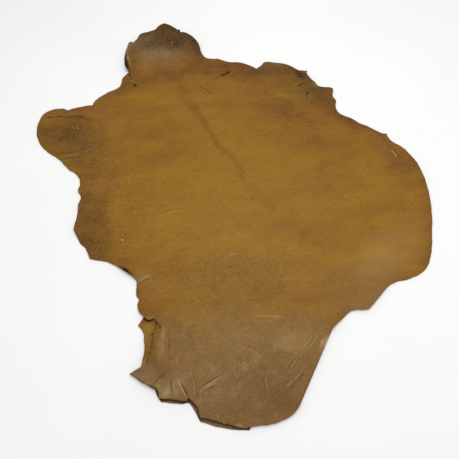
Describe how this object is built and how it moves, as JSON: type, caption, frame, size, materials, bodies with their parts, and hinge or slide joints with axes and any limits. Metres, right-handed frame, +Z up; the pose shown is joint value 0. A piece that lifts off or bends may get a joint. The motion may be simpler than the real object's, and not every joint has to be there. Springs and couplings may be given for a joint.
{
  "type": "leather hide",
  "caption": "Whole tanned hide laid out grain side up, with an irregular cut edge, an arched neck and one hind shank folded under.",
  "frame": {"origin": "on the surface the hide lies on, under the middle of its box", "axes": "+Y from the hind end towards the neck, +X towards the right hind leg as seen from above with the neck away, +Z up"},
  "size_m": [1.127, 1.319, 0.032],
  "materials": {
    "leather": "tan smooth grain with a soft waxy sheen, darker brown towards the cut edge, mottled"
  },
  "bodies": {
    "root": {"hide": "leather"}
  },
  "joints": []
}
